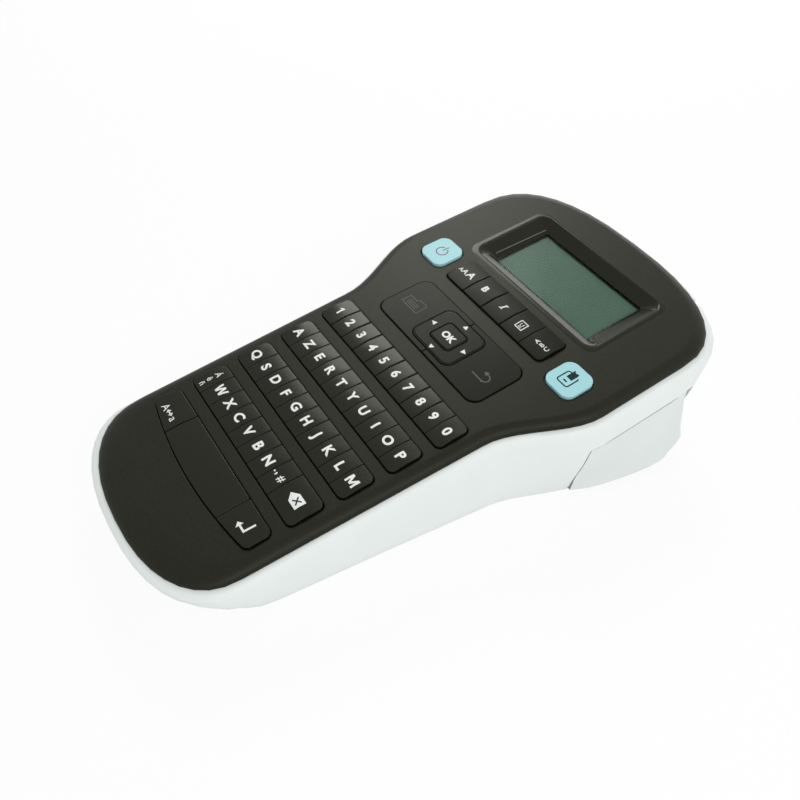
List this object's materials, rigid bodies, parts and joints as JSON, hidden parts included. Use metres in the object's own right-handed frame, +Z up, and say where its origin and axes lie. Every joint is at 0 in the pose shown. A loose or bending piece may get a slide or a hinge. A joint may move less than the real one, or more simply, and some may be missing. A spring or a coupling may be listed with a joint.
{
  "type": "handheld label printer",
  "caption": "Handheld label printer: waisted wedge housing, full keyboard, recessed display, hinged covers and a squeeze lever that drives the tape cutter.",
  "frame": {"origin": "on the flat underside, on the centre line, between the battery cover and the cassette door", "axes": "+X to the user's right, +Y to the display end, +Z up"},
  "size_m": [0.1146, 0.2058, 0.0504],
  "materials": {
    "cover_black": "fine moulded texture, satin",
    "shell_white": "smooth satin moulding with a faint green cast",
    "key_black": "smooth satin keycap",
    "panel_black": "polished",
    "button_blue": "semi-gloss pale blue",
    "window_clear": "clear polished window",
    "display_green": "grey-green unlit display",
    "mat_rubber": "moulded silicone",
    "board_green": "solder-masked board",
    "steel": "plain bright steel",
    "mechanism_grey": "dark grey coated sheet",
    "cell_jacket": "plain printed jacket",
    "head_black": "ceramic line head",
    "gear_ivory": "moulded acetal",
    "motor_can": "drawn can",
    "pinion_brass": "machined",
    "cassette_grey": "smooth moulding",
    "tape_white": "smooth label stock",
    "ribbon_black": "wound thermal ribbon"
  },
  "bodies": {
    "housing": {"top_cover": "cover_black", "lower_shell": "shell_white", "display_window": "window_clear", "display_module": "display_green", "keypad_mat": "mat_rubber", "circuit_board": "board_green", "lever_pin": "steel", "lever_spring": "steel", "batteries": "cell_jacket", "battery_contacts": "steel", "mech_plate": "mechanism_grey", "print_head": "head_black", "drive_motor": "motor_can", "gear_pin": "steel", "tape_cassette": "cassette_grey", "label_tape": "tape_white", "shell_screws": "steel"},
    "lever": {"cutter_lever": "shell_white"},
    "cutter": {"blade_holder": "mechanism_grey", "cutter_blade": "steel"},
    "cassette_door": {"cassette_door": "shell_white"},
    "battery_cover": {"battery_cover": "shell_white"},
    "platen": {"platen_roller": "mat_rubber", "platen_shaft": "steel", "platen_gear": "gear_ivory"},
    "idler": {"reduction_gear": "gear_ivory"},
    "motor": {"motor_shaft": "steel", "motor_pinion": "pinion_brass"},
    "tape_roll": {"tape_roll": "tape_white"},
    "ribbon_spool": {"ribbon_spool": "ribbon_black"},
    "nav_ring": {"nav_ring": "key_black"},
    "power_button": {"power_button": "button_blue"},
    "print_button": {"print_button": "button_blue"},
    "menu_key": {"menu_key": "panel_black"},
    "back_key": {"back_key": "panel_black"},
    "ok_button": {"ok_button": "key_black"},
    "size_key": {"size_key": "key_black"},
    "bold_key": {"bold_key": "key_black"},
    "italic_key": {"italic_key": "key_black"},
    "frame_key": {"frame_key": "key_black"},
    "vertical_key": {"vertical_key": "key_black"},
    "caps_key": {"caps_key": "key_black"},
    "space_key": {"space_key": "key_black"},
    "enter_key": {"enter_key": "key_black"},
    "backspace_key": {"backspace_key": "key_black"},
    "letter_keys_top": {"letter_keys_top": "key_black"},
    "letter_keys_home": {"letter_keys_home": "key_black"},
    "letter_keys_bottom": {"letter_keys_bottom": "key_black"},
    "digit_key_1": {"digit_key_1": "key_black"},
    "digit_key_2": {"digit_key_2": "key_black"},
    "digit_key_3": {"digit_key_3": "key_black"},
    "digit_key_4": {"digit_key_4": "key_black"},
    "digit_key_5": {"digit_key_5": "key_black"},
    "digit_key_6": {"digit_key_6": "key_black"},
    "digit_key_7": {"digit_key_7": "key_black"},
    "digit_key_8": {"digit_key_8": "key_black"},
    "digit_key_9": {"digit_key_9": "key_black"},
    "digit_key_0": {"digit_key_0": "key_black"}
  },
  "joints": [
    {"name": "lever_squeeze", "type": "hinge", "parent": "housing", "child": "lever", "pos_m": [0.044, 0.046, 0.012], "axis": [0, 0, 1], "range_deg": [0, 7], "stiffness_Nm_per_rad": 0.8, "springref_deg": -6.88, "deforming": ["lever_spring"]},
    {"name": "cutter_stroke", "type": "slide", "parent": "housing", "child": "cutter", "axis": [-1, 0, 0], "range_m": [0, 0.005]},
    {"name": "cassette_door_swing", "type": "hinge", "parent": "housing", "child": "cassette_door", "pos_m": [0.015, 0.0086, 0.0016], "axis": [-1, 0, 0], "range_deg": [0, 100]},
    {"name": "battery_cover_swing", "type": "hinge", "parent": "housing", "child": "battery_cover", "pos_m": [0, -0.0199, 0.0016], "axis": [1, 0, 0], "range_deg": [0, 90]},
    {"name": "four_way_rock", "type": "hinge", "parent": "housing", "child": "nav_ring", "pos_m": [0, 0.01577, 0.03579], "axis": [1, 0, 0], "range_deg": [-2.5, 2.5], "stiffness_Nm_per_rad": 0.3},
    {"name": "power_button_press", "type": "slide", "parent": "housing", "child": "power_button", "axis": [0, -0.1392, 0.9903], "range_m": [-0.0008, 0], "stiffness_N_per_m": 300, "springref_m": 0.0005},
    {"name": "print_button_press", "type": "slide", "parent": "housing", "child": "print_button", "axis": [0, -0.1392, 0.9903], "range_m": [-0.0008, 0], "stiffness_N_per_m": 300, "springref_m": 0.0005},
    {"name": "ok_button_press", "type": "slide", "parent": "housing", "child": "ok_button", "axis": [0, -0.1392, 0.9903], "range_m": [-0.0008, 0], "stiffness_N_per_m": 300, "springref_m": 0.0005},
    {"name": "menu_key_press", "type": "slide", "parent": "housing", "child": "menu_key", "axis": [0, -0.1392, 0.9903], "range_m": [-0.0008, 0], "stiffness_N_per_m": 300, "springref_m": 0.0005},
    {"name": "back_key_press", "type": "slide", "parent": "housing", "child": "back_key", "axis": [0, -0.1392, 0.9903], "range_m": [-0.0008, 0], "stiffness_N_per_m": 300, "springref_m": 0.0005},
    {"name": "size_key_press", "type": "slide", "parent": "housing", "child": "size_key", "axis": [0, -0.1392, 0.9903], "range_m": [-0.0008, 0], "stiffness_N_per_m": 300, "springref_m": 0.0005},
    {"name": "bold_key_press", "type": "slide", "parent": "housing", "child": "bold_key", "axis": [0, -0.1392, 0.9903], "range_m": [-0.0008, 0], "stiffness_N_per_m": 300, "springref_m": 0.0005},
    {"name": "italic_key_press", "type": "slide", "parent": "housing", "child": "italic_key", "axis": [0, -0.1392, 0.9903], "range_m": [-0.0008, 0], "stiffness_N_per_m": 300, "springref_m": 0.0005},
    {"name": "frame_key_press", "type": "slide", "parent": "housing", "child": "frame_key", "axis": [0, -0.1392, 0.9903], "range_m": [-0.0008, 0], "stiffness_N_per_m": 300, "springref_m": 0.0005},
    {"name": "vertical_key_press", "type": "slide", "parent": "housing", "child": "vertical_key", "axis": [0, -0.1392, 0.9903], "range_m": [-0.0008, 0], "stiffness_N_per_m": 300, "springref_m": 0.0005},
    {"name": "caps_key_press", "type": "slide", "parent": "housing", "child": "caps_key", "axis": [0, -0.1392, 0.9903], "range_m": [-0.0008, 0], "stiffness_N_per_m": 300, "springref_m": 0.0005},
    {"name": "space_key_press", "type": "slide", "parent": "housing", "child": "space_key", "axis": [0, -0.1392, 0.9903], "range_m": [-0.0008, 0], "stiffness_N_per_m": 300, "springref_m": 0.0005},
    {"name": "enter_key_press", "type": "slide", "parent": "housing", "child": "enter_key", "axis": [0, -0.1392, 0.9903], "range_m": [-0.0008, 0], "stiffness_N_per_m": 300, "springref_m": 0.0005},
    {"name": "backspace_key_press", "type": "slide", "parent": "housing", "child": "backspace_key", "axis": [0, -0.1392, 0.9903], "range_m": [-0.0008, 0], "stiffness_N_per_m": 300, "springref_m": 0.0005},
    {"name": "letter_keys_top_press", "type": "slide", "parent": "housing", "child": "letter_keys_top", "axis": [0, -0.1392, 0.9903], "range_m": [-0.0008, 0], "stiffness_N_per_m": 300, "springref_m": 0.0005},
    {"name": "letter_keys_home_press", "type": "slide", "parent": "housing", "child": "letter_keys_home", "axis": [0, -0.1392, 0.9903], "range_m": [-0.0008, 0], "stiffness_N_per_m": 300, "springref_m": 0.0005},
    {"name": "letter_keys_bottom_press", "type": "slide", "parent": "housing", "child": "letter_keys_bottom", "axis": [0, -0.1392, 0.9903], "range_m": [-0.0008, 0], "stiffness_N_per_m": 300, "springref_m": 0.0005},
    {"name": "digit_key_1_press", "type": "slide", "parent": "housing", "child": "digit_key_1", "axis": [0, -0.1392, 0.9903], "range_m": [-0.0008, 0], "stiffness_N_per_m": 300, "springref_m": 0.0005},
    {"name": "digit_key_2_press", "type": "slide", "parent": "housing", "child": "digit_key_2", "axis": [0, -0.1392, 0.9903], "range_m": [-0.0008, 0], "stiffness_N_per_m": 300, "springref_m": 0.0005},
    {"name": "digit_key_3_press", "type": "slide", "parent": "housing", "child": "digit_key_3", "axis": [0, -0.1392, 0.9903], "range_m": [-0.0008, 0], "stiffness_N_per_m": 300, "springref_m": 0.0005},
    {"name": "digit_key_4_press", "type": "slide", "parent": "housing", "child": "digit_key_4", "axis": [0, -0.1392, 0.9903], "range_m": [-0.0008, 0], "stiffness_N_per_m": 300, "springref_m": 0.0005},
    {"name": "digit_key_5_press", "type": "slide", "parent": "housing", "child": "digit_key_5", "axis": [0, -0.1392, 0.9903], "range_m": [-0.0008, 0], "stiffness_N_per_m": 300, "springref_m": 0.0005},
    {"name": "digit_key_6_press", "type": "slide", "parent": "housing", "child": "digit_key_6", "axis": [0, -0.1392, 0.9903], "range_m": [-0.0008, 0], "stiffness_N_per_m": 300, "springref_m": 0.0005},
    {"name": "digit_key_7_press", "type": "slide", "parent": "housing", "child": "digit_key_7", "axis": [0, -0.1392, 0.9903], "range_m": [-0.0008, 0], "stiffness_N_per_m": 300, "springref_m": 0.0005},
    {"name": "digit_key_8_press", "type": "slide", "parent": "housing", "child": "digit_key_8", "axis": [0, -0.1392, 0.9903], "range_m": [-0.0008, 0], "stiffness_N_per_m": 300, "springref_m": 0.0005},
    {"name": "digit_key_9_press", "type": "slide", "parent": "housing", "child": "digit_key_9", "axis": [0, -0.1392, 0.9903], "range_m": [-0.0008, 0], "stiffness_N_per_m": 300, "springref_m": 0.0005},
    {"name": "digit_key_0_press", "type": "slide", "parent": "housing", "child": "digit_key_0", "axis": [0, -0.1392, 0.9903], "range_m": [-0.0008, 0], "stiffness_N_per_m": 300, "springref_m": 0.0005},
    {"name": "platen_spin", "type": "hinge", "parent": "housing", "child": "platen", "pos_m": [0.0384, 0.067, 0.012], "axis": [0, 0, 1], "continuous": true},
    {"name": "idler_spin", "type": "hinge", "parent": "housing", "child": "idler", "pos_m": [0.02712, 0.0711, 0.012], "axis": [0, 0, 1], "continuous": true},
    {"name": "motor_spin", "type": "hinge", "parent": "housing", "child": "motor", "pos_m": [0.01338, 0.07231, 0.012], "axis": [0, 0, 1], "continuous": true},
    {"name": "tape_spin", "type": "hinge", "parent": "housing", "child": "tape_roll", "pos_m": [0.0123, 0.0285, 0.012], "axis": [0, 0, 1], "continuous": true},
    {"name": "ribbon_spin", "type": "hinge", "parent": "housing", "child": "ribbon_spool", "pos_m": [0.0013, 0.0505, 0.012], "axis": [0, 0, 1], "continuous": true}
  ],
  "couplings": [
    {"joint": "cutter_stroke", "follows": "lever_squeeze", "m_per_rad": 0.033},
    {"joint": "idler_spin", "follows": "platen_spin", "ratio": -1.5},
    {"joint": "motor_spin", "follows": "platen_spin", "ratio": 2.8125},
    {"joint": "tape_spin", "follows": "platen_spin", "ratio": -0.26471},
    {"joint": "ribbon_spin", "follows": "platen_spin", "ratio": -0.64286}
  ]
}
